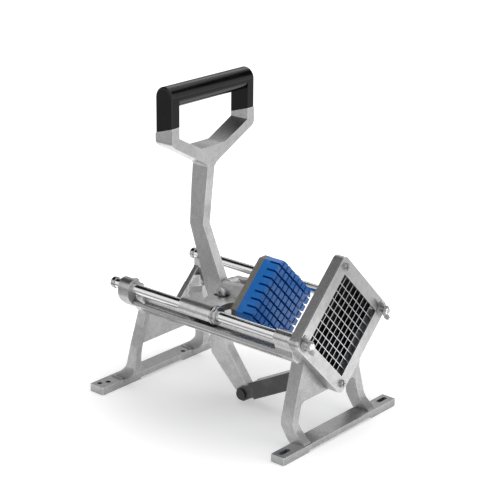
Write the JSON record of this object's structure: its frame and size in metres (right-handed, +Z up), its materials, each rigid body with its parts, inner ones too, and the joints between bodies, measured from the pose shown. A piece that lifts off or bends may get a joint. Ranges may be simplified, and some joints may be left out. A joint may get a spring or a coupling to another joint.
{
  "type": "french fry cutter",
  "caption": "Lever-operated fry cutter: a sliding fingered pusher on twin rods presses potatoes through a diamond blade grid in a cast frame with splayed feet.",
  "frame": {"origin": "centre of the bounding box in X and Y, on the bench under the feet", "axes": "+X from the handle end to the blade end, +Y to the far side, +Z up"},
  "size_m": [0.3052, 0.2064, 0.379],
  "materials": {
    "cast_aluminium": "brushed",
    "rod_chrome": "polished",
    "cap_steel": "polished",
    "bolt_steel": "satin",
    "nut_steel": "polished",
    "plate_aluminium": "brushed",
    "blade_steel": "satin",
    "carriage_aluminium": "polished",
    "bronze": "satin",
    "backing_metal": "satin",
    "blue_plastic": "gloss",
    "lever_aluminium": "brushed",
    "grip_black": "gloss",
    "link_dark": "satin",
    "pin_black": "gloss"
  },
  "bodies": {
    "frame": {"front_frame": "cast_aluminium", "rear_frame": "cast_aluminium", "side_rail": "cast_aluminium", "near_rod": "rod_chrome", "far_rod": "rod_chrome", "rod_caps": "cap_steel", "clamp_bolts": "bolt_steel", "blade_frame": "plate_aluminium", "rising_blades": "blade_steel", "falling_blades": "blade_steel", "frame_screws": "nut_steel"},
    "near_nut": {"near_wing_nut": "nut_steel"},
    "far_nut": {"far_wing_nut": "nut_steel"},
    "slider": {"carriage": "carriage_aluminium", "sleeve_collars": "rod_chrome", "sleeve_bushings": "bronze", "lever_pivot_bolt": "bolt_steel", "lever_pivot_nut": "bolt_steel", "backing_plate": "backing_metal", "pusher_block": "blue_plastic", "pusher_bolts": "bolt_steel"},
    "lever": {"lever_arm": "lever_aluminium", "grip": "grip_black"},
    "link_bar": {"link": "link_dark", "eye_pin": "pin_black", "link_front_pin": "pin_black", "pin_rings": "pin_black"}
  },
  "joints": [
    {"name": "carriage_slide", "type": "slide", "parent": "frame", "child": "slider", "axis": [1, 0, 0], "range_m": [0, 0.08]},
    {"name": "lever_turn", "type": "hinge", "parent": "slider", "child": "lever", "pos_m": [-0.0209, 0, 0.134], "axis": [0, 1, 0], "range_deg": [0, 38.3]},
    {"name": "link_turn", "type": "hinge", "parent": "lever", "child": "link_bar", "pos_m": [0.005, 0, 0.012], "axis": [0, 1, 0], "range_deg": [-34.9, 0]},
    {"name": "near_nut_spin", "type": "hinge", "parent": "frame", "child": "near_nut", "pos_m": [0.1445, -0.0688, 0.1314], "axis": [1, 0, 0], "continuous": true},
    {"name": "far_nut_spin", "type": "hinge", "parent": "frame", "child": "far_nut", "pos_m": [0.1445, 0.0688, 0.1314], "axis": [1, 0, 0], "continuous": true}
  ],
  "couplings": [
    {"joint": "lever_turn", "follows": "carriage_slide", "rad_per_m": 8.339},
    {"joint": "link_turn", "follows": "carriage_slide", "rad_per_m": -7.597}
  ]
}
